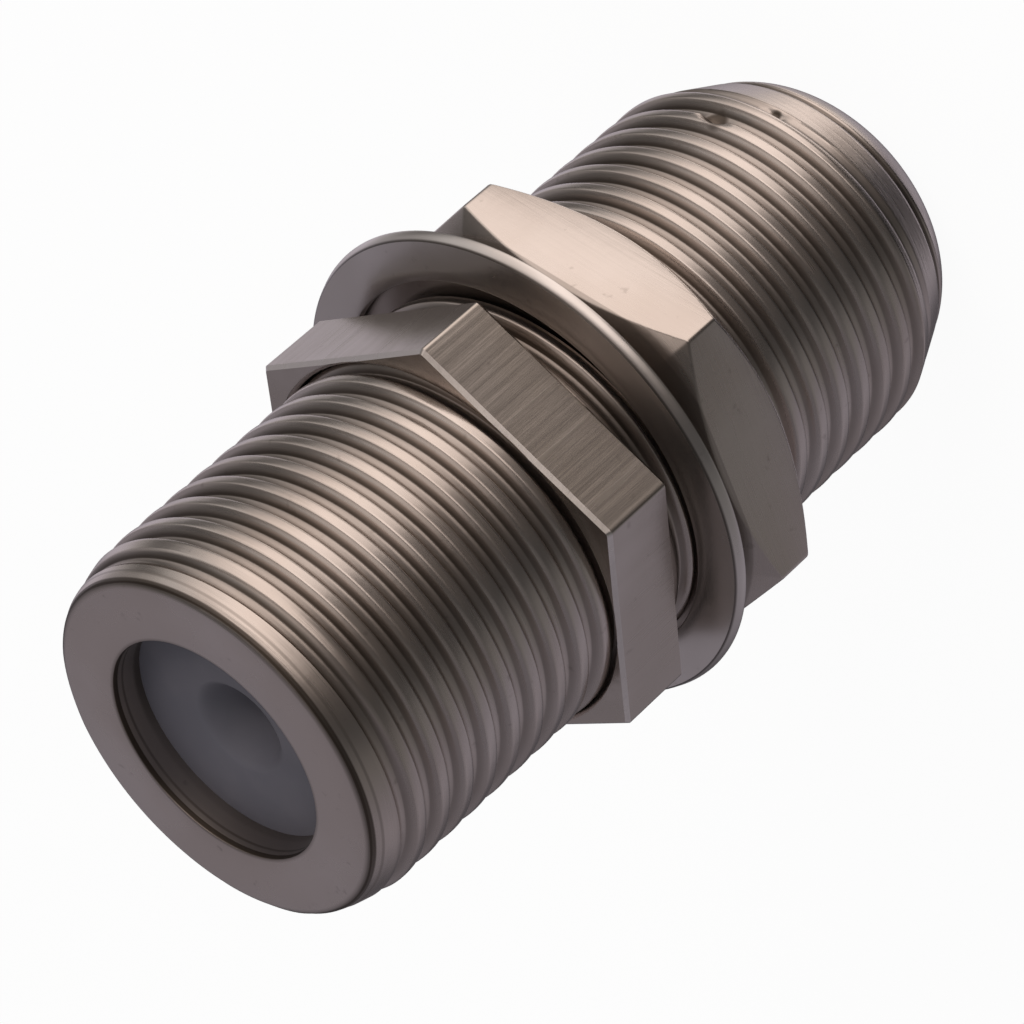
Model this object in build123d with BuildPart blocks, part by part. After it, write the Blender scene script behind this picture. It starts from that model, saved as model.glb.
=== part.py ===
from build123d import *
import math
import os

os.makedirs("parts", exist_ok=True)

# A threaded coaxial barrel adapter, standing on its rounded rear rim. Millimetres throughout.
# Z is the axis of the barrel. Height zero is the rear rim, and the flat front ring is on top.

# Shell: one turned piece, with a thread at each end and a hexagon between them
rear_length = 8.2  # rear rim to the hexagon
flange_thickness = 2.6
front_length = 11.2  # hexagon to the front ring
flange_across_flats = 10.9
rear_land_inset = 0.45  # the flat on the rear face is this much narrower than the hexagon
rear_chamfer_angle = 39
front_land_inset = 0.92
front_chamfer_angle = 32
collar_diameter = 10.7  # low step on the front face, under the washer
collar_height = 0.24
thread_diameter = 9.5  # 3/8-32 thread, measured over its crests
thread_pitch = 25.4 / 32
thread_depth = 0.32
crest_width = 0.32
root_width = 0.17
tip_diameter = 8.6  # outside of the front ring
tip_lead = 1.3  # height over which the front ring widens to the thread
tip_plain = 0.25  # the first groove stands one crest behind this height
nose_height = 2.95  # the rear thread tapers below this height
nose_turn_height = 0.95  # below this height the taper rolls over into the rim
nose_turn_diameter = 7.9
rim_diameter = 6.4  # outside of the flat that the shell stands on

# Bore of the shell
mouth_diameter = 5.75  # inside of the front ring
mouth_depth = 0.86
rear_mouth_diameter = 5.8  # inside of the rolled rear rim
rear_mouth_depth = 0.8
bore_diameter = 6.7

# Insulators: two equal plugs that meet in the middle of the bore
insulator_gap = 0.03
insulator_wall = 2.0  # thickness of the face in front of the contact
funnel_diameter = 2.4
funnel_depth = 0.9
throat_diameter = 1.4

# Contact: a springy tube, slotted at both ends
contact_diameter = 2.2
contact_bore = 1.0
contact_bore_depth = 5.5
contact_gap = 0.05  # play of the contact in its chamber
slot_width = 0.2
slot_length = 4.0
socket_chamfer = 0.15

# Washer, loose on the front thread and a little off centre
washer_bore_gap = 0.3  # play around the thread
washer_width = 1.16  # from its bore to its rim
washer_thickness = 0.34
washer_edge = 0.08
washer_seat_gap = 0.02
washer_shift = 0.15

# Nut, backed off one turn from the washer
nut_across_flats = 9.9
nut_thickness = 2.02
nut_bore_gap = 0.03
nut_backed_off = 0.77
nut_angle = 39.4  # turn of the nut's corners from the hexagon's

flange_bottom = rear_length
flange_top = flange_bottom + flange_thickness
total_length = flange_top + front_length
collar_top = flange_top + collar_height
washer_bottom = collar_top + washer_seat_gap
nut_bottom = washer_bottom + washer_thickness + nut_backed_off
thread_radius = thread_diameter / 2
washer_bore_radius = thread_radius + washer_bore_gap
washer_radius = washer_bore_radius + washer_width
root_radius = thread_radius - thread_depth
flank_width = (thread_pitch - crest_width - root_width) / 2
groove_width = root_width + 2 * flank_width


def groove_heights(first, last):
    """Centres of the grooves, a pitch apart, from the groove next to the crest at first towards last."""
    way = 1 if last > first else -1
    start = first + way * (crest_width + groove_width / 2)
    count = int((abs(last - start) - groove_width / 2) / thread_pitch) + 1
    return [start + way * thread_pitch * turn for turn in range(count)]


# The thread is drawn as rings at its pitch, with flat crests
nose_slope = (thread_radius - nose_turn_diameter / 2) / (nose_height - nose_turn_height)
rear_thread_end = nose_height - thread_depth / nose_slope
front_grooves = groove_heights(total_length - tip_plain, collar_top)
rear_grooves = groove_heights(flange_bottom, rear_thread_end)
flank_slope = flank_width / thread_depth
cut_radius = thread_radius + thread_depth / 2
cut_width = groove_width + thread_depth * flank_slope

with BuildPart() as body_shell:
    with BuildSketch(Plane.XY.offset(flange_bottom)):
        RegularPolygon(radius=flange_across_flats / 2, side_count=6, major_radius=False)
    extrude(amount=flange_thickness)
    # both faces of the hexagon are turned off at the corners
    flange_corner = flange_across_flats / math.sqrt(3)
    rear_land = (flange_across_flats - rear_land_inset) / 2
    rear_drop = (flange_corner - rear_land) * math.tan(math.radians(rear_chamfer_angle))
    front_land = (flange_across_flats - front_land_inset) / 2
    front_drop = (flange_corner - front_land) * math.tan(math.radians(front_chamfer_angle))
    with BuildSketch(Plane.XZ):
        with BuildLine():
            Polyline(
                (0, flange_bottom),
                (rear_land, flange_bottom),
                (flange_corner, flange_bottom + rear_drop),
                (flange_corner, flange_top - front_drop),
                (front_land, flange_top),
                (0, flange_top),
                close=True,
            )
        make_face()
    revolve(axis=Axis.Z, mode=Mode.INTERSECT)
    with BuildSketch(Plane.XY.offset(flange_bottom + flange_thickness / 2)):
        Circle(collar_diameter / 2)
    extrude(amount=collar_top - flange_bottom - flange_thickness / 2)
    # barrel, with its lead-in at the front and its rounded nose at the rear
    with BuildSketch(Plane.XZ):
        with BuildLine():
            taper = Line((thread_radius, nose_height), (nose_turn_diameter / 2, nose_turn_height))
            TangentArc(taper @ 1, (rim_diameter / 2, 0), tangent=taper % 1)
            Polyline(
                (rim_diameter / 2, 0),
                (0, 0),
                (0, total_length),
                (tip_diameter / 2, total_length),
                (thread_radius, total_length - tip_lead),
                (thread_radius, nose_height),
            )
        make_face()
    revolve(axis=Axis.Z)
    with BuildSketch(Plane.XZ):
        for height in front_grooves + rear_grooves:
            with BuildLine():
                Polyline(
                    (root_radius, height - root_width / 2),
                    (root_radius, height + root_width / 2),
                    (cut_radius, height + cut_width / 2),
                    (cut_radius, height - cut_width / 2),
                    close=True,
                )
            make_face()
    revolve(axis=Axis.Z, mode=Mode.SUBTRACT)
    with BuildSketch(Plane.XZ):
        with BuildLine():
            Polyline(
                (0, 0),
                (rear_mouth_diameter / 2, 0),
                (rear_mouth_diameter / 2, rear_mouth_depth),
                (bore_diameter / 2, rear_mouth_depth),
                (bore_diameter / 2, total_length - mouth_depth),
                (mouth_diameter / 2, total_length - mouth_depth),
                (mouth_diameter / 2, total_length),
                (0, total_length),
                close=True,
            )
        make_face()
    revolve(axis=Axis.Z, mode=Mode.SUBTRACT)

# Both insulators share one profile: way is 1 where the face looks up and -1 where it looks down
front_face = total_length - mouth_depth
rear_face = rear_mouth_depth
insulator_length = (front_face - rear_face) / 2
insulator_radius = bore_diameter / 2 - insulator_gap
chamber_radius = contact_diameter / 2 + contact_gap


def insulator_profile(face, way):
    Polyline(
        (funnel_diameter / 2, face),
        (insulator_radius, face),
        (insulator_radius, face - way * insulator_length),
        (chamber_radius, face - way * insulator_length),
        (chamber_radius, face - way * insulator_wall),
        (throat_diameter / 2, face - way * insulator_wall),
        (throat_diameter / 2, face - way * funnel_depth),
        close=True,
    )


with BuildPart() as front_insulator:
    with BuildSketch(Plane.XZ):
        with BuildLine():
            insulator_profile(front_face, 1)
        make_face()
    revolve(axis=Axis.Z)

with BuildPart() as rear_insulator:
    with BuildSketch(Plane.XZ):
        with BuildLine():
            insulator_profile(rear_face, -1)
        make_face()
    revolve(axis=Axis.Z)

contact_bottom = rear_face + insulator_wall + contact_gap
contact_top = front_face - insulator_wall - contact_gap

with BuildPart() as centre_contact:
    with BuildSketch(Plane.XY.offset(contact_bottom)):
        Circle(contact_diameter / 2)
    extrude(amount=contact_top - contact_bottom)
    for end in (Plane.XY.offset(contact_top), Plane.XY.offset(contact_bottom).rotated((180, 0, 0))):
        with BuildSketch(end):
            Circle(contact_bore / 2)
        extrude(amount=-contact_bore_depth, mode=Mode.SUBTRACT)
        with BuildSketch(end):
            Rectangle(contact_diameter * 2, slot_width)
            Rectangle(slot_width, contact_diameter * 2)
        extrude(amount=-slot_length, mode=Mode.SUBTRACT)
        # the mouth of each socket is countersunk
        with BuildSketch(end):
            Circle(contact_bore / 2 + socket_chamfer)
        extrude(amount=-socket_chamfer, taper=45, mode=Mode.SUBTRACT)

with BuildPart() as washer:
    with BuildSketch(Plane.XY.offset(washer_bottom)):
        with Locations((0, washer_shift)):
            Circle(washer_radius)
            Circle(washer_bore_radius, mode=Mode.SUBTRACT)
    extrude(amount=washer_thickness)
    rim_edges = washer.edges().filter_by(GeomType.CIRCLE).group_by(SortBy.RADIUS)[-1]
    fillet(rim_edges, radius=min(washer_edge, washer_thickness / 3))

with BuildPart() as hex_nut:
    with BuildSketch(Plane.XY.offset(nut_bottom)):
        RegularPolygon(
            radius=nut_across_flats / 2, side_count=6, major_radius=False, rotation=nut_angle
        )
        Circle(thread_radius + nut_bore_gap, mode=Mode.SUBTRACT)
    extrude(amount=nut_thickness)

body_shell.part.label = "body_shell"
export_step(body_shell.part, "parts/body_shell.step")
front_insulator.part.label = "front_insulator"
export_step(front_insulator.part, "parts/front_insulator.step")
rear_insulator.part.label = "rear_insulator"
export_step(rear_insulator.part, "parts/rear_insulator.step")
centre_contact.part.label = "centre_contact"
export_step(centre_contact.part, "parts/centre_contact.step")
washer.part.label = "washer"
export_step(washer.part, "parts/washer.step")
hex_nut.part.label = "hex_nut"
export_step(hex_nut.part, "parts/hex_nut.step")
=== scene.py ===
import math

import bmesh
import bpy
from mathutils import Matrix, Vector


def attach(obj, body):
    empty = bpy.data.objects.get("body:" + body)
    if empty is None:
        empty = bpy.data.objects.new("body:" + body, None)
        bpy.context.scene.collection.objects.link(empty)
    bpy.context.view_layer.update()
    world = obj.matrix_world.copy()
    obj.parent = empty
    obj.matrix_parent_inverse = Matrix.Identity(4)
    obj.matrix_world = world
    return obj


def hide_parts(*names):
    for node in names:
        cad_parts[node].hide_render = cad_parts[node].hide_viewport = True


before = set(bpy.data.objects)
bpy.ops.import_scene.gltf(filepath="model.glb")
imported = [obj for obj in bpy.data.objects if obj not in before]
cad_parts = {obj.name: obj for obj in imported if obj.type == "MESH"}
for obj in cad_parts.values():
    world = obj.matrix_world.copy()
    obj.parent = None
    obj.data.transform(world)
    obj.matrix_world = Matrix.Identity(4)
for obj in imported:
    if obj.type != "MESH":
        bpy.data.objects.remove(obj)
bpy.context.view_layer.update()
mm = 0.001
perMetre = 1000                                         # millimetres in a metre, for sums in a shader
halfSide = math.pi / 6                                  # half the angle that a hexagon's side takes up


# helpers for shaders: a Wire is a socket that can stand in a Python sum

class Wire:
    def __init__(self, sheet, socket):
        self.sheet, self.socket = sheet, socket

    def __add__(self, other): return self.sheet.sum("ADD", self, other)
    def __radd__(self, other): return self.sheet.sum("ADD", other, self)
    def __sub__(self, other): return self.sheet.sum("SUBTRACT", self, other)
    def __rsub__(self, other): return self.sheet.sum("SUBTRACT", other, self)
    def __mul__(self, other): return self.sheet.sum("MULTIPLY", self, other)
    def __rmul__(self, other): return self.sheet.sum("MULTIPLY", other, self)
    def __truediv__(self, other): return self.sheet.sum("DIVIDE", self, other)
    def __pow__(self, other): return self.sheet.sum("POWER", self, other)


class Sheet:
    def __init__(self, owner):
        self.tree = owner.node_tree
        self.tree.nodes.clear()

    def node(self, kind, settings=None, inputs=None, output=None):
        made = self.tree.nodes.new(kind)
        for key, value in (settings or {}).items():
            if key == "stops":                          # colour ramp: place and colour of each stop
                ramp = made.color_ramp
                while len(ramp.elements) > 1:
                    ramp.elements.remove(ramp.elements[0])
                ramp.elements[0].position, ramp.elements[0].color = value[0][0], (*value[0][1], 1)
                for place, colour in value[1:]:
                    ramp.elements.new(place).color = (*colour, 1)
            elif key == "blend":
                made.color_ramp.interpolation = value
            else:
                setattr(made, key, value)
        for key, value in (inputs or {}).items():
            socket = next(s for s in made.inputs if s.identifier == key)
            if isinstance(value, Wire):
                self.tree.links.new(value.socket, socket)
            else:
                socket.default_value = value
        if not made.outputs:
            return made
        wanted = (s for s in made.outputs if s.enabled and output in (None, s.identifier))
        return Wire(self, next(wanted))

    def beside(self, wire, name):                       # another output of the node that a wire comes from
        return Wire(self, wire.socket.node.outputs[name])

    def split(self, vector):
        first = self.node("ShaderNodeSeparateXYZ", {}, {"Vector": vector})
        return [self.beside(first, name) for name in "XYZ"]

    def sum(self, operation, first, second):
        return self.node("ShaderNodeMath", {"operation": operation}, {"Value": first, "Value_001": second})

    def band(self, value, low, high):                   # 0 below low, 1 above high, smooth between
        return self.node("ShaderNodeMapRange", {"interpolation_type": "SMOOTHSTEP"},
                         {"Value": value, "From Min": low, "From Max": high})

    def mix(self, share, first, second):
        return self.node("ShaderNodeMix", {"data_type": "RGBA"},
                         {"Factor_Float": share, "A_Color": first, "B_Color": second}, "Result_Color")

    def scaled(self, vector, scale):
        return self.node("ShaderNodeVectorMath", {"operation": "MULTIPLY"},
                         {"Vector": vector, "Vector_001": scale})

    def distance(self, vector, spot):
        return self.node("ShaderNodeVectorMath", {"operation": "DISTANCE"},
                         {"Vector": vector, "Vector_001": spot}, "Value")

    def noise(self, vector, scale, detail, roughness=0.5):
        return self.node("ShaderNodeTexNoise", {}, {"Vector": vector, "Scale": scale, "Detail": detail,
                                                    "Roughness": roughness}, "Fac")

    def bump(self, height, depth):
        return self.node("ShaderNodeBump", {}, {"Strength": 1.0, "Distance": depth * mm, "Height": height})


def newMaterial(name):
    made = bpy.data.materials.new(name)
    made.use_nodes = True
    return made, Sheet(made)


cloudDetail, fineDetail = 3.0, 2.0                      # octaves of noise


# nickel plating

plating = {
    "cloudScale": 260, "mottle": (0.35, 0.65), "speckScale": 2600, "fineRough": 0.6,
    "pitBand": (0.66, 0.78), "bumpDepth": 0.001,
    # soiling and painted shade: where it starts and stops by height, lighter at the thread's roots, painted
    # shade in the mouth and in bands round the barrel
    "fadeIn": 0.5, "fadeOut": 0.12, "rootBlend": 0.02, "mouthShadeBand": (2.90, 2.98), "shadeLineBlend": 0.04,
    # the painted shade in the thread's hollows is stronger on one side of the barrel than the other
    "shadedWay": (0.42, 0.91), "shadedBand": (-0.3, 0.5), "lightSideShare": 0.3,
    "blotRagged": 0.10, "blotCore": 0.55, "dirtShadeLeast": 0.75, "dirtShadeCloud": 0.5,
    "roughCloud": 0.12, "roughDirtAndShade": 0.15,
    # a painted edge tone on surfaces that look partly up, picked by how far they look up: a painted highlight
    # on the nut's front edge, a painted dark line on the washer's
    "edgeRise": (0.55, 0.66), "edgeFall": (0.78, 0.90),
}


def plateDirtAndShade(sheet, look, place, speck):
    p = plating
    x, y, z = sheet.split(place)
    radius = (x * x + y * y) ** 0.5 * perMetre          # millimetres from the axis
    height = z * perMetre
    low, high = look["dirtAndShadeHeights"]
    # painted shade mixed with real soiling: darker in the thread's hollows and near the bore, lighter on the
    # root's floor
    grooveDirtAndShade = (1 - sheet.band(radius, *look["dirtAndShadeBand"])) * sheet.band(height, low, low + p["fadeIn"])
    root = 1 - sheet.band(radius, look["rootIn"], look["rootIn"] + p["rootBlend"])
    grooveDirtAndShade = grooveDirtAndShade * (1 - root * look["rootLighter"])
    wayX, wayY = p["shadedWay"]
    side = (x * wayX + y * wayY) * perMetre / radius
    grooveDirtAndShade = grooveDirtAndShade * (1 - sheet.band(height, high - p["fadeOut"], high)) * look["dirtAndShade"]
    # painted shade: weaker on one side of the barrel
    grooveDirtAndShade = grooveDirtAndShade * (p["lightSideShare"] + (1 - p["lightSideShare"]) * sheet.band(side, *p["shadedBand"]))
    # painted shade inside the mouth, the bores and on the ring's inner edge
    dirtAndShade = grooveDirtAndShade + (1 - sheet.band(radius, *p["mouthShadeBand"])) * look["mouthShade"]
    # painted shade in bands round the axis, by height
    for middle, half, amount in look["shadeLines"]:
        rise = sheet.band(height, middle - half - p["shadeLineBlend"], middle - half)
        fall = 1 - sheet.band(height, middle + half, middle + half + p["shadeLineBlend"])
        dirtAndShade = dirtAndShade + rise * fall * amount
    for spot, size in look["blots"]:
        ragged = sheet.distance(place, spot) * perMetre + (speck - 0.5) * p["blotRagged"]
        dirtAndShade = sheet.sum("MAXIMUM", dirtAndShade, 1 - sheet.band(ragged, size * p["blotCore"], size))
    return dirtAndShade


def nickelPlate(name, look):
    made, sheet = newMaterial(name)
    p = plating
    place = sheet.node("ShaderNodeTexCoord", output="Object")
    cloud = sheet.noise(place, p["cloudScale"], cloudDetail)
    speck = sheet.noise(place, p["speckScale"], fineDetail, p["fineRough"])
    grain = sheet.noise(sheet.scaled(place, look["grain"]), 1.0, cloudDetail, p["fineRough"])
    dirtAndShade = plateDirtAndShade(sheet, look, place, speck)
    plate = sheet.mix(sheet.band(cloud, *p["mottle"]), look["plate"], look["plateWarm"])
    # the base colour darkens where the mask of painted shade and soiling lies
    tone = sheet.mix(dirtAndShade * (p["dirtShadeLeast"] + cloud * p["dirtShadeCloud"]), plate, look["grimeAndShade"])
    tone = sheet.mix(sheet.band(speck, *p["pitBand"]) * look["pits"], tone, look["grimeAndShade"])
    tilt = sheet.split(sheet.beside(place, "Normal"))[2]
    # painted edge tone where the surface looks partly up: a painted highlight on the nut, a painted dark line
    # on the washer
    paintedEdgeMask = sheet.band(tilt, *p["edgeRise"]) * (1 - sheet.band(tilt, *p["edgeFall"])) * look["paintedEdgeAmount"]
    tone = sheet.mix(paintedEdgeMask, tone, look["paintedEdgeTone"])
    rough = look["rough"] + (cloud - 0.5) * p["roughCloud"] + (grain - 0.5) * look["roughGrain"]
    rough = rough + dirtAndShade * p["roughDirtAndShade"]
    bump = sheet.bump(grain * look["grainDepth"] + speck * look["speckDepth"], p["bumpDepth"])
    shader = sheet.node("ShaderNodeBsdfPrincipled", {}, {
        "Base Color": tone, "Metallic": 1.0, "Roughness": rough, "Normal": bump})
    sheet.node("ShaderNodeOutputMaterial", {}, {"Surface": shader})
    return made


def onBarrel(angle, height, radius):
    # a point on the barrel, from millimetres and degrees
    turn = math.radians(angle)
    return (radius * math.cos(turn) * mm, radius * math.sin(turn) * mm, height * mm)


platedLook = {                                          # what the three plated pieces share
    "speckDepth": 2.5, "dirtAndShadeHeights": (0, 30), "rootIn": 0.0, "rootLighter": 0.0, "mouthShade": 0.0,
    "pits": 0.2, "blots": [], "shadeLines": [], "paintedEdgeAmount": 0.0, "paintedEdgeTone": (0.86, 0.80, 0.76, 1),
}
shellLook = {
    **platedLook,
    "plate": (0.62, 0.555, 0.515, 1), "plateWarm": (0.57, 0.50, 0.455, 1), "grimeAndShade": (0.10, 0.08, 0.065, 1),
    "rough": 0.27, "roughGrain": 0.10, "grain": (350, 350, 9000), "grainDepth": 5.0, "pits": 0.25,
    "dirtAndShade": 0.90, "dirtAndShadeBand": (4.52, 4.68), "dirtAndShadeHeights": (1.9, 21.40), "rootIn": 4.485, "rootLighter": 0.58,
    # painted shade inside the mouth
    "mouthShade": 0.36,
    # dark nicks: place on the surface, and size
    "blots": [(onBarrel(46.3, 3.18, 4.52), 0.42), (onBarrel(42.8, 3.36, 4.52), 0.38),
              (onBarrel(33.6, 2.24, 4.46), 0.19)],
    # painted shade in bands round the barrel, at the rim's groove, under the washer, between washer and nut,
    # and at the front ring's edges: height, half width, amount
    "shadeLines": [(1.02, 0.06, 0.75), (10.72, 0.34, 0.36), (11.82, 0.42, 0.2), (21.70, 0.012, 0.35),
              (21.90, 0.025, 0.85), (21.955, 0.005, 0.6)],
}
nutLook = {
    **platedLook,
    "plate": (0.53, 0.475, 0.435, 1), "plateWarm": (0.475, 0.42, 0.375, 1), "grimeAndShade": (0.12, 0.10, 0.08, 1),
    "rough": 0.25, "roughGrain": 0.14, "grain": (3600, 3600, 120), "grainDepth": 6.0, "speckDepth": 2.0,
    # painted shade near the bore, and a painted highlight on the front edge
    "dirtAndShade": 0.6, "dirtAndShadeBand": (4.7, 4.95), "paintedEdgeAmount": 1.0,
}
washerLook = {
    **platedLook,
    # the plate is lighter than the shell's: painted light that makes up for the nut's shade on the washer
    "plate": (0.70, 0.65, 0.62, 1), "plateWarm": (0.64, 0.59, 0.555, 1), "grimeAndShade": (0.11, 0.09, 0.075, 1),
    "rough": 0.30, "roughGrain": 0.10, "grain": (900, 900, 900), "grainDepth": 3.5,
    # painted shade near the bore where the nut shades the washer, and a band of painted shade at the rim's
    # underside
    "dirtAndShade": 0.4, "dirtAndShadeBand": (5.0, 5.3), "shadeLines": [(11.07, 0.05, 0.85)],
    # a painted dark line on the front edge
    "paintedEdgeAmount": 0.85, "paintedEdgeTone": (0.09, 0.075, 0.065, 1),
}
shellNickel = nickelPlate("shellNickel", shellLook)
nutNickel = nickelPlate("nutNickel", nutLook)
washerNickel = nickelPlate("washerNickel", washerLook)


# moulded plastic and the contact's bronze

plasticLook = {
    "base": (0.080, 0.078, 0.094, 1), "second": (0.096, 0.092, 0.108, 1),
    "cloudScale": 420, "mottle": (0.35, 0.68),
    "metallic": 0.0, "specular": 0.25, "rough": 0.62, "roughCloud": 0.15,
    "grain": (5200, 5200, 5200), "grainRough": 0.6, "bumpDepth": 0.002,
}
bronzeLook = {
    "base": (0.60, 0.43, 0.22, 1), "second": (0.42, 0.29, 0.15, 1),
    "cloudScale": 900, "mottle": (0.35, 0.7),
    "metallic": 1.0, "specular": 0.5, "rough": 0.28, "roughCloud": 0.2,
    "grain": (6000, 6000, 200), "grainRough": 0.5, "bumpDepth": 0.001,
}


def mottled(name, look):
    made, sheet = newMaterial(name)
    place = sheet.node("ShaderNodeTexCoord", output="Object")
    cloud = sheet.noise(place, look["cloudScale"], cloudDetail)
    grain = sheet.noise(sheet.scaled(place, look["grain"]), 1.0, fineDetail, look["grainRough"])
    tone = sheet.mix(sheet.band(cloud, *look["mottle"]), look["base"], look["second"])
    rough = look["rough"] + (cloud - 0.5) * look["roughCloud"]
    shader = sheet.node("ShaderNodeBsdfPrincipled", {}, {
        "Base Color": tone, "Metallic": look["metallic"], "Roughness": rough,
        "Specular IOR Level": look["specular"], "Normal": sheet.bump(grain, look["bumpDepth"])})
    sheet.node("ShaderNodeOutputMaterial", {}, {"Surface": shader})
    return made


insulatorPlastic = mottled("insulatorPlastic", plasticLook)
contactBronze = mottled("contactBronze", bronzeLook)
print("materials made")


# mesh helpers, all in millimetres on the barrel's axis

meshing = {
    "weld": 0.0004, "shortest": 0.0002, "sharpFrom": 42, "faceWeight": 80,
    "cornerSteps": (-1.5, -1, -0.5, 0, 0.5, 1, 1.5),    # columns at a corner, in shares of its rounding
}


def cornerArc(apothem, cornerRound):
    # how far the rounding's centre is from the axis, and the angle from the corner to the rounding's end
    centre = (apothem - cornerRound) / math.cos(halfSide)
    end = math.atan2(cornerRound * math.sin(halfSide), centre + cornerRound * math.cos(halfSide))
    return centre, end


def hexRadius(angle, apothem, cornerRound):
    # distance from the axis to a hexagon with rounded corners, a corner at angle 0
    off = abs((angle + halfSide) % (2 * halfSide) - halfSide)
    centre, end = cornerArc(apothem, cornerRound)
    if off < end:
        return centre * math.cos(off) + math.sqrt(cornerRound ** 2 - (centre * math.sin(off)) ** 2)
    return apothem / math.cos(halfSide - off)


def columnAngles(apothem, cornerRound, turn, between):
    # angles round the axis, close together at the hexagon's corners
    end = cornerArc(apothem, cornerRound)[1]
    steps = meshing["cornerSteps"]
    angles = []
    for corner in range(6):
        middle = turn + 2 * halfSide * corner
        angles += [middle + end * k for k in steps]
        first, last = middle + end * steps[-1], middle + 2 * halfSide + end * steps[0]
        angles += [first + (last - first) * k / between for k in range(1, between)]
    return angles


def evenAngles(count):
    return [math.tau * k / count for k in range(count)]


def addPiece(name, bm, material, body, nodes, sharpFrom=meshing["sharpFrom"]):
    bmesh.ops.remove_doubles(bm, verts=bm.verts, dist=meshing["weld"])
    bmesh.ops.dissolve_degenerate(bm, edges=bm.edges, dist=meshing["shortest"])
    bmesh.ops.recalc_face_normals(bm, faces=bm.faces)
    bmesh.ops.scale(bm, vec=(mm, mm, mm), verts=bm.verts)
    mesh = bpy.data.meshes.new(name)
    bm.to_mesh(mesh)
    bm.free()
    mesh.polygons.foreach_set("use_smooth", [True] * len(mesh.polygons))
    mesh.set_sharp_from_angle(angle=math.radians(sharpFrom))
    piece = bpy.data.objects.new(name, mesh)
    bpy.context.scene.collection.objects.link(piece)
    piece.data.materials.append(material)
    weights = piece.modifiers.new("weights", "WEIGHTED_NORMAL")
    weights.keep_sharp, weights.weight = True, meshing["faceWeight"]
    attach(piece, body)
    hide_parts(*nodes)
    print(name, len(mesh.vertices), "points")


def ringPoint(angle, spot):
    radius, height = spot
    return (radius * math.cos(angle), radius * math.sin(angle), height)


def addRows(bm, spots, angles):
    # a ring of points for each (radius, height), or for each function of the angle that returns them
    return [[bm.verts.new(ringPoint(a, spot(a) if callable(spot) else spot)) for a in angles]
            for spot in spots]


def joinRows(bm, grid, closed):
    count = len(grid[0])
    pairs = list(zip(grid, grid[1:])) + ([(grid[-1], grid[0])] if closed else [])
    for lower, upper in pairs:
        for k in range(count):
            n = (k + 1) % count
            bm.faces.new((lower[k], lower[n], upper[n], upper[k]))


def lathe(spots, angles):
    # a closed outline turned into one skin
    bm = bmesh.new()
    joinRows(bm, addRows(bm, spots, angles), True)
    return bm


def valueAt(points, place):
    # value at a place on a line through points of (place, value)
    for (nearAt, near), (farAt, far) in zip(points, points[1:]):
        if place <= farAt:
            return near + (far - near) * (place - nearAt) / (farAt - nearAt)
    return points[-1][1]


# the shell: threads, hexagon, ring, rim and bore in one skin

shell = {
    "length": 22.0, "ringInner": 2.875, "ringOuter": 4.25, "mouthDepth": 0.86, "boreRadius": 3.35,
    "rearMouthRadius": 2.9, "rearMouthDepth": 0.8, "rimRadius": 3.2,
    # hexagon: each face has a round flat, its land, and slopes down from there to the corners
    "hexBottom": 8.2, "hexTop": 10.8, "apothem": 5.45, "cornerRound": 0.10, "columnsBetween": 24,
    "rearLand": 5.225, "rearSlope": math.tan(math.radians(39)),
    "frontLand": 4.99, "frontSlope": math.tan(math.radians(32)), "collarRadius": 5.35, "collarTop": 11.04,
    # roundings of edges: how far off the outline, and how far along the axis
    "hexEdge": [(0.045, 0.0), (0.0135, 0.01575), (0.0, 0.0495)],
    "mouthEdge": [(0.05, 0.0), (0.012, 0.012), (0.0, 0.05)],
    "rearMouthEdge": [(0.0, 0.06), (0.02, 0.015), (0.07, 0.0)],
    "landEdge": (0.04, 0.008), "collarEdge": 0.03, "ringEdge": 0.035, "rimEdge": 0.03,
    "skinEnd": 0.02,                                    # the thread's skin ends this far from both ends
    "threadRadius": 4.75, "pitch": 25.4 / 32, "crestPhase": 21.60,
    # half of one thread turn: distance from the middle of the crest, and depth
    "threadForm": [(0.0, 0.0), (0.060, 0.003), (0.112, 0.011), (0.146, 0.036),
                   (0.208, 0.140), (0.268, 0.244), (0.300, 0.270), (0.397, 0.278)],
    # outline of the front end that the thread runs out into: height and radius
    "frontOutline": [(20.75, 4.75), (21.10, 4.66), (21.40, 4.585), (21.75, 4.495), (21.93, 4.40),
                     (22.0, 4.27)],
    "runoutBlend": 0.04,
    # rear end: a taper from the first height to the turn, then an arc down to the rim
    "noseHeight": 2.60, "noseTurn": (4.03, 0.98), "noseCentre": (1.940, 1.908), "noseRound": 2.286,
    # a turned line above the rolled rim: height, half width, depth
    "rimLine": (1.02, 0.13, 0.08),
    # nicks: angle, height, size, depth; each is longer round the barrel than along it
    "nicks": [(44.6, 3.27, 0.30, 0.24), (33.6, 2.24, 0.20, 0.15)], "nickStretch": 1.5,
}
shellAngles = columnAngles(shell["apothem"], shell["cornerRound"], 0.0, shell["columnsBetween"])


def threadDepth(along):
    # depth below the crest at a distance along the axis from a crest's middle
    half = shell["pitch"] / 2
    return valueAt(shell["threadForm"], abs((along + half) % shell["pitch"] - half))


def barrelEdge(height):
    # the turned outline that the thread is cut into
    if height > shell["frontOutline"][0][0]:
        return valueAt(shell["frontOutline"], height)
    turnRadius, turnHeight = shell["noseTurn"]
    if height >= shell["noseHeight"]:
        return shell["threadRadius"]
    if height >= turnHeight:
        rise = (height - turnHeight) / (shell["noseHeight"] - turnHeight)
        return turnRadius + (shell["threadRadius"] - turnRadius) * rise
    centreRadius, centreHeight = shell["noseCentre"]
    return centreRadius + math.sqrt(shell["noseRound"] ** 2 - (height - centreHeight) ** 2)


def softLeast(first, second, width):
    # the lesser of two values, rounded off where they are close
    gap = max(width - abs(first - second), 0) / width
    return min(first, second) - gap * gap * width / 4


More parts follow.
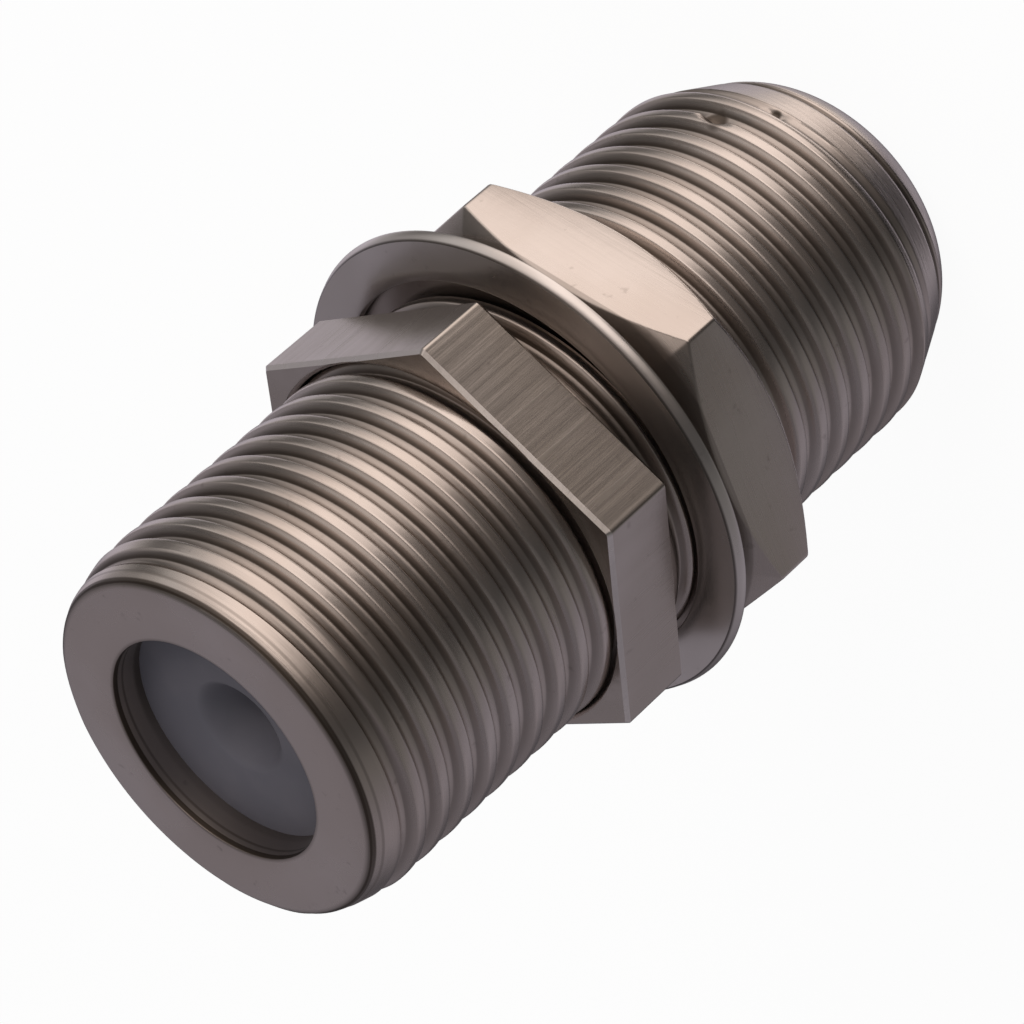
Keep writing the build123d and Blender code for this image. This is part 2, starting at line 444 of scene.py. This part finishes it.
def threadRadiusAt(angle, height):
    along = height - shell["crestPhase"] - shell["pitch"] * angle / math.tau
    radius = softLeast(shell["threadRadius"] - threadDepth(along), barrelEdge(height), shell["runoutBlend"])
    lineHeight, halfWidth, depth = shell["rimLine"]
    if abs(height - lineHeight) < halfWidth:
        radius -= depth * (1 - abs(height - lineHeight) / halfWidth)
    for nickAngle, nickHeight, size, depth in shell["nicks"]:
        across = radius * ((angle - math.radians(nickAngle) + math.pi) % math.tau - math.pi)
        away = math.hypot(across / shell["nickStretch"], height - nickHeight) / size
        if away < 1:
            radius -= depth * (1 - away * away) ** 2
    return radius


def threadTurns(low, high):
    # where the helix's rows lie, in turns from the crest's phase, and how many rows a turn has
    offsets = [s / shell["pitch"] for s, _ in shell["threadForm"]]
    offsets = offsets[:-1] + [1 - s for s in reversed(offsets[1:])]
    first = math.floor((low - shell["crestPhase"]) / shell["pitch"]) - 1
    last = math.ceil((high - shell["crestPhase"]) / shell["pitch"]) + 1
    return [turn + o for turn in range(first, last) for o in offsets], len(offsets)


def threadGrid(bm, low, high):
    # rows that follow the crest, so each row's end meets the start of the row a whole turn on
    turns, perTurn = threadTurns(low, high)

    def helix(turn):
        def spot(angle):
            height = shell["crestPhase"] + shell["pitch"] * (turn + angle / math.tau)
            height = min(max(height, low), high)
            return threadRadiusAt(angle, height), height
        return spot

    grid = addRows(bm, [helix(turn) for turn in turns], shellAngles)
    last = len(grid) - 1
    for k in range(last):
        for c in range(len(shellAngles) - 1):
            bm.faces.new((grid[k][c], grid[k][c + 1], grid[k + 1][c + 1], grid[k + 1][c]))
        left, right = grid[min(k + perTurn, last)][0], grid[min(k + 1 + perTurn, last)][0]
        if left is not right:
            bm.faces.new((grid[k][-1], left, right, grid[k + 1][-1]))
        else:
            bm.faces.new((grid[k][-1], left, grid[k + 1][-1]))
    return grid[0], grid[-1]


def hexRow(inset, drop, front):
    # a row on the hexagon's outline, inset from it, and dropped from its front or its rear chamfer
    def spot(angle):
        radius = hexRadius(angle, shell["apothem"], shell["cornerRound"]) - inset
        if front:
            return radius, shell["hexTop"] - (radius - shell["frontLand"]) * shell["frontSlope"] - drop
        return radius, shell["hexBottom"] + (radius - shell["rearLand"]) * shell["rearSlope"] + drop
    return spot


def buildShell():
    bm = bmesh.new()
    s = shell
    length, land, collar = s["length"], s["rearLand"], s["collarRadius"]
    frontLow, frontHigh = threadGrid(bm, s["collarTop"], length - s["skinEnd"])
    rearLow, rearHigh = threadGrid(bm, s["skinEnd"], s["hexBottom"])
    landIn, landUp = s["landEdge"]
    collarFoot = s["hexTop"] - (collar - s["frontLand"]) * s["frontSlope"]
    hexagon = addRows(bm, [
        (land - landIn, s["hexBottom"]), (land, s["hexBottom"] + landUp),
        *[hexRow(inset, drop, False) for inset, drop in s["hexEdge"]],
        *[hexRow(inset, drop, True) for inset, drop in reversed(s["hexEdge"])],
        (collar, collarFoot), (collar, s["collarTop"] - s["collarEdge"]),
        (collar - s["collarEdge"], s["collarTop"])], shellAngles)
    ringAndBore = addRows(bm, [
        (s["ringOuter"] - s["ringEdge"], length),
        *[(s["ringInner"] + out, length - down) for out, down in s["mouthEdge"]],
        (s["ringInner"], length - s["mouthDepth"]), (s["boreRadius"], length - s["mouthDepth"]),
        (s["boreRadius"], s["rearMouthDepth"]), (s["rearMouthRadius"], s["rearMouthDepth"]),
        *[(s["rearMouthRadius"] + out, up) for out, up in s["rearMouthEdge"]],
        (s["rimRadius"] - s["rimEdge"], 0.0)], shellAngles)
    joinRows(bm, [rearHigh] + hexagon + [frontLow], False)
    joinRows(bm, [frontHigh] + ringAndBore + [rearLow], False)
    addPiece("shellBody", bm, shellNickel, "barrel", ["body_shell"])


buildShell()


# washer: a stamped disc, loose on the hexagon

washer = {
    "bottom": 11.06, "thickness": 0.34, "bore": 5.05, "rim": 6.208, "shift": 0.15,
    "columns": 180, "sharpFrom": 25,
    # the rim leans in from a low ridge towards both faces, a little less towards the front
    "rimLean": 0.075, "frontLean": 0.85, "ridge": 0.10, "ridgeIn": 0.004, "ridgeHalf": 0.03,
    "rimRound": 0.06, "boreRound": 0.05, "boreShare": 0.3,
    "fromRim": 0.45, "fromBore": 0.3,                   # rows that keep the front face flat
}


def washerOutline(w):
    low, high = w["bottom"], w["bottom"] + w["thickness"]
    bore, rim, lean, size, soft = w["bore"], w["rim"], w["rimLean"], w["rimRound"], w["boreRound"]
    ridge, part, front = low + w["ridge"], soft * w["boreShare"], lean * w["frontLean"]
    beside, half = rim - w["ridgeIn"], w["ridgeHalf"]
    return [(rim - lean - size, low), (rim - lean, low + size),
            (beside, ridge - half), (rim, ridge), (beside, ridge + half),
            (rim - front, high - size), (rim - front - size, high),
            (rim - w["fromRim"], high), (bore + w["fromBore"], high),
            (bore + soft, high), (bore + part, high - part), (bore, high - soft),
            (bore, low + soft), (bore + soft, low)]


def buildWasher():
    w = washer
    bm = lathe(washerOutline(w), evenAngles(w["columns"]))
    bmesh.ops.translate(bm, vec=(0, w["shift"], 0), verts=bm.verts)
    addPiece("flatWasher", bm, washerNickel, "washer", ["washer"], w["sharpFrom"])


buildWasher()


# nut: a slice of hexagon bar, its bore countersunk at both faces

nut = {
    "bottom": 12.17, "thickness": 2.02, "apothem": 4.95, "cornerRound": 0.10, "edge": 0.095, "turn": 39.4,
    "columnsBetween": 14, "sharpFrom": 35, "bore": 4.79,
    "sink": [(0.09, 0.0), (0.05, 0.03), (0.0, 0.10)],   # out from the bore, and in from the face
}


def buildNut():
    n = nut
    low, high, edge, bore = n["bottom"], n["bottom"] + n["thickness"], n["edge"], n["bore"]
    turn = math.radians(n["turn"])

    def side(inset, height):
        return lambda a: (hexRadius(a - turn, n["apothem"], n["cornerRound"]) - inset, height)

    spots = [side(edge, low), side(0, low + edge), side(0, high - edge), side(edge, high)]
    spots += [(bore + out, high - down) for out, down in n["sink"]]
    spots += [(bore + out, low + up) for out, up in reversed(n["sink"])]
    bm = lathe(spots, columnAngles(n["apothem"], n["cornerRound"], turn, n["columnsBetween"]))
    addPiece("thinNut", bm, nutNickel, "nut", ["hex_nut"], n["sharpFrom"])


buildNut()


# insulators: two equal plugs, each with a soft funnel in its face

insulator = {"radius": 3.32, "length": 10.17, "wall": 2.0, "lip": 1.25, "throat": 0.55, "funnel": 1.25,
             "chamber": 1.15, "backEdge": 0.05, "funnelSteps": 8, "funnelPower": 1.7, "columns": 96}


def buildInsulator(name, node, face, way):
    i = insulator
    spots = [(i["radius"], 0.0), (i["radius"], i["backEdge"] - i["length"]),
             (i["radius"] - i["backEdge"], -i["length"]), (i["chamber"], -i["length"]),
             (i["chamber"], -i["wall"]), (i["throat"], -i["wall"]), (i["throat"], -i["funnel"])]
    for k in range(1, i["funnelSteps"] + 1):            # the funnel turns over softly into the face
        share = k / i["funnelSteps"]
        depth = i["funnel"] * (1 - share) ** i["funnelPower"]
        spots.append((i["throat"] + (i["lip"] - i["throat"]) * share, -depth))
    bm = lathe([(radius, face + way * height) for radius, height in spots], evenAngles(i["columns"]))
    addPiece(name, bm, insulatorPlastic, "barrel", [node])


buildInsulator("frontInsulator", "front_insulator", shell["length"] - shell["mouthDepth"], 1)
buildInsulator("rearInsulator", "rear_insulator", shell["rearMouthDepth"], -1)

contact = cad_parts["centre_contact"]
contact.data.materials.clear()
contact.data.materials.append(contactBronze)
print("pieces made")


# floor, world, lamps and camera

studio = {
    "floorSize": 0.8, "floorCells": 8, "floorTone": (0.86, 0.86, 0.86, 1), "floorWhite": 0.94,
    "room": (0.62, 0.61, 0.62, 1), "white": (1, 1, 1, 1),
    "middle": (0, 0, 0.011),                            # the part's middle, which the lamps face
    "warm": (1.0, 0.90, 0.84), "plain": (1.0, 0.97, 0.95), "cool": (1.0, 0.94, 1.06),
}
lamps = {
    "key": {"azimuth": 44, "height": 30, "away": 0.16, "size": 0.09, "power": 0.13,
            "colour": (1.0, 0.93, 0.86)},
    "fill": {"azimuth": -75, "height": 40, "away": 0.20, "size": 0.24, "power": 0.03,
             "colour": (0.96, 0.97, 1.0)},
}
camera = {
    "place": (0.10110665, 0.00318178, 0.07708790), "right": (0.42608965, -0.65102226, -0.62818598),
    "up": (0.33231894, 0.75846086, -0.56062577), "lens": 188.4925, "sensor": 36.0, "clip": (0.005, 5.0),
}

# what the plating mirrors, in bands from far below to overhead: azimuth, brightness and tint
peak = 1.75                                             # the brightest panel, for the colour ramps
deepPanels = [
    (-180, 0.38, "cool"), (-150, 0.44, "cool"), (-134, 0.68, "cool"), (-117, 0.09, "plain"),
    (-96, 0.02, "plain"), (-60, 0.02, "plain"), (0, 0.06, "plain"), (35, 0.09, "warm"),
    (60, 0.14, "warm"), (80, 0.40, "warm"), (97, 1.3, "warm"), (114, 1.75, "warm"), (127, 1.1, "warm"),
    (142, 0.5, "plain"), (165, 0.46, "cool"), (180, 0.38, "cool")]
lowPanels = [
    (-180, 0.12, "cool"), (-150, 0.08, "cool"), (-100, 0.33, "cool"), (-86, 0.27, "cool"),
    (-62, 0.20, "plain"), (-36, 0.055, "plain"), (-15, 0.085, "warm"), (2, 0.13, "warm"),
    (11, 0.15, "warm"), (18, 0.17, "warm"), (22, 0.40, "warm"), (27, 1.1, "warm"), (40, 1.3, "warm"),
    (50, 1.50, "warm"), (64, 1.42, "warm"), (76, 0.92, "warm"), (90, 0.50, "plain"),
    (104, 0.11, "plain"), (116, 0.10, "plain"), (128, 0.42, "plain"), (142, 0.68, "cool"),
    (154, 0.56, "cool"), (168, 0.24, "cool"), (180, 0.12, "cool")]
levelPanels = [
    (-180, 0.25, "cool"), (-140, 0.18, "cool"), (-100, 0.27, "cool"), (-62, 0.17, "plain"),
    (-36, 0.055, "plain"), (-15, 0.080, "warm"), (0, 0.35, "warm"), (12, 1.1, "warm"), (24, 1.5, "warm"),
    (46, 1.45, "warm"), (63, 0.95, "warm"), (90, 0.65, "plain"), (112, 0.30, "plain"),
    (140, 0.30, "cool"), (165, 0.26, "cool"), (180, 0.25, "cool")]
highPanels = [
    (-180, 0.27, "cool"), (-140, 0.19, "cool"), (-100, 0.17, "cool"), (-62, 0.13, "plain"),
    (-36, 0.055, "plain"), (-15, 0.070, "warm"), (2, 0.10, "warm"), (22, 0.26, "warm"),
    (46, 0.34, "warm"), (63, 0.28, "warm"), (90, 0.16, "warm"), (112, 0.07, "plain"),
    (140, 0.16, "plain"), (165, 0.24, "cool"), (180, 0.27, "cool")]
topPanels = [
    (-180, 0.18, "cool"), (-140, 0.12, "cool"), (-100, 0.18, "cool"), (-62, 0.14, "plain"),
    (-36, 0.055, "plain"), (-15, 0.075, "warm"), (2, 0.12, "warm"), (13, 0.60, "warm"),
    (26, 0.62, "warm"), (46, 0.80, "warm"), (63, 0.70, "warm"), (90, 0.62, "plain"),
    (112, 0.12, "plain"), (150, 0.10, "plain"), (180, 0.18, "cool")]
# the height of the mirrored direction at which each band takes over from the one below it
bandStarts = [(lowPanels, -0.90, -0.74), (levelPanels, -0.22, 0.02), (highPanels, 0.32, 0.50),
              (topPanels, 0.68, 0.82)]


def placeObject(name, data):
    made = bpy.data.objects.new(name, data)
    bpy.context.scene.collection.objects.link(made)
    return made


def buildFloor():
    bm = bmesh.new()
    cells = studio["floorCells"]
    bmesh.ops.create_grid(bm, x_segments=cells, y_segments=cells, size=studio["floorSize"] / 2)
    mesh = bpy.data.meshes.new("floor")
    bm.to_mesh(mesh)
    bm.free()
    floor = placeObject("floor", mesh)
    made, sheet = newMaterial("paleFloor")
    seen = sheet.node("ShaderNodeLightPath", output="Is Camera Ray")
    share = (seen + sheet.beside(seen, "Is Transmission Ray")) * studio["floorWhite"]
    matte = sheet.node("ShaderNodeBsdfDiffuse", {}, {"Color": studio["floorTone"]})
    glow = sheet.node("ShaderNodeEmission", {}, {"Color": studio["white"], "Strength": 1.0})
    both = sheet.node("ShaderNodeMixShader", {}, {"Fac": share, "Shader": matte, "Shader_001": glow})
    sheet.node("ShaderNodeOutputMaterial", {}, {"Surface": both})
    mesh.materials.append(made)
    floor.visible_glossy = False                        # the plating mirrors the panels in the world instead


def panelRamp(sheet, turn, panels):
    stops = [(azimuth / 360 + 0.5, tuple(level * c / peak for c in studio[tint]))
             for azimuth, level, tint in panels]
    return sheet.node("ShaderNodeValToRGB", {"blend": "EASE", "stops": stops}, {"Fac": turn}, "Color")


def buildWorld():
    world = bpy.data.worlds.new("studio")
    bpy.context.scene.world = world
    world.use_nodes = True
    sheet = Sheet(world)
    x, y, z = sheet.split(sheet.node("ShaderNodeTexCoord", output="Generated"))
    turn = sheet.sum("ARCTAN2", y, x) / math.tau + 0.5
    mirrored = panelRamp(sheet, turn, deepPanels)
    for panels, low, high in bandStarts:
        mirrored = sheet.mix(sheet.band(z, low, high), mirrored, panelRamp(sheet, turn, panels))
    seen = sheet.node("ShaderNodeLightPath", output="Is Camera Ray")
    gloss, through = sheet.beside(seen, "Is Glossy Ray"), sheet.beside(seen, "Is Transmission Ray")
    room = sheet.node("ShaderNodeBackground", {}, {"Color": studio["room"], "Strength": 1.0})
    bright = sheet.node("ShaderNodeBackground", {}, {"Color": mirrored, "Strength": peak})
    white = sheet.node("ShaderNodeBackground", {}, {"Color": studio["white"], "Strength": 1.0})
    both = sheet.node("ShaderNodeMixShader", {}, {"Fac": gloss, "Shader": room, "Shader_001": bright})
    both = sheet.node("ShaderNodeMixShader", {}, {"Fac": seen + through, "Shader": both, "Shader_001": white})
    sheet.node("ShaderNodeOutputWorld", {}, {"Surface": both})


def buildLamp(name, spec):
    lamp = bpy.data.lights.new(name, "AREA")
    lamp.shape, lamp.size, lamp.energy, lamp.color = "DISK", spec["size"], spec["power"], spec["colour"]
    holder = placeObject(name, lamp)
    azimuth, height = math.radians(spec["azimuth"]), math.radians(spec["height"])
    level = math.cos(height)
    away = Vector((math.cos(azimuth) * level, math.sin(azimuth) * level, math.sin(height)))
    holder.location = Vector(studio["middle"]) + away * spec["away"]
    holder.rotation_mode = "QUATERNION"
    holder.rotation_quaternion = away.to_track_quat("Z", "Y")
    holder.visible_glossy = False                       # the plating mirrors the panels alone


def buildCamera():
    lens = bpy.data.cameras.new("camera")
    lens.lens, lens.sensor_width, lens.sensor_fit = camera["lens"], camera["sensor"], "HORIZONTAL"
    lens.clip_start, lens.clip_end = camera["clip"]
    holder = placeObject("camera", lens)
    right, up = Vector(camera["right"]), Vector(camera["up"])
    turn = Matrix((right, up, right.cross(up))).transposed()
    holder.matrix_world = Matrix.Translation(Vector(camera["place"])) @ turn.to_4x4()
    bpy.context.scene.camera = holder


buildFloor()
buildWorld()
for lampName, lampSpec in lamps.items():
    buildLamp(lampName, lampSpec)
buildCamera()
bpy.context.scene.view_settings.view_transform = "Standard"
print("studio made")

bpy.context.view_layer.update()
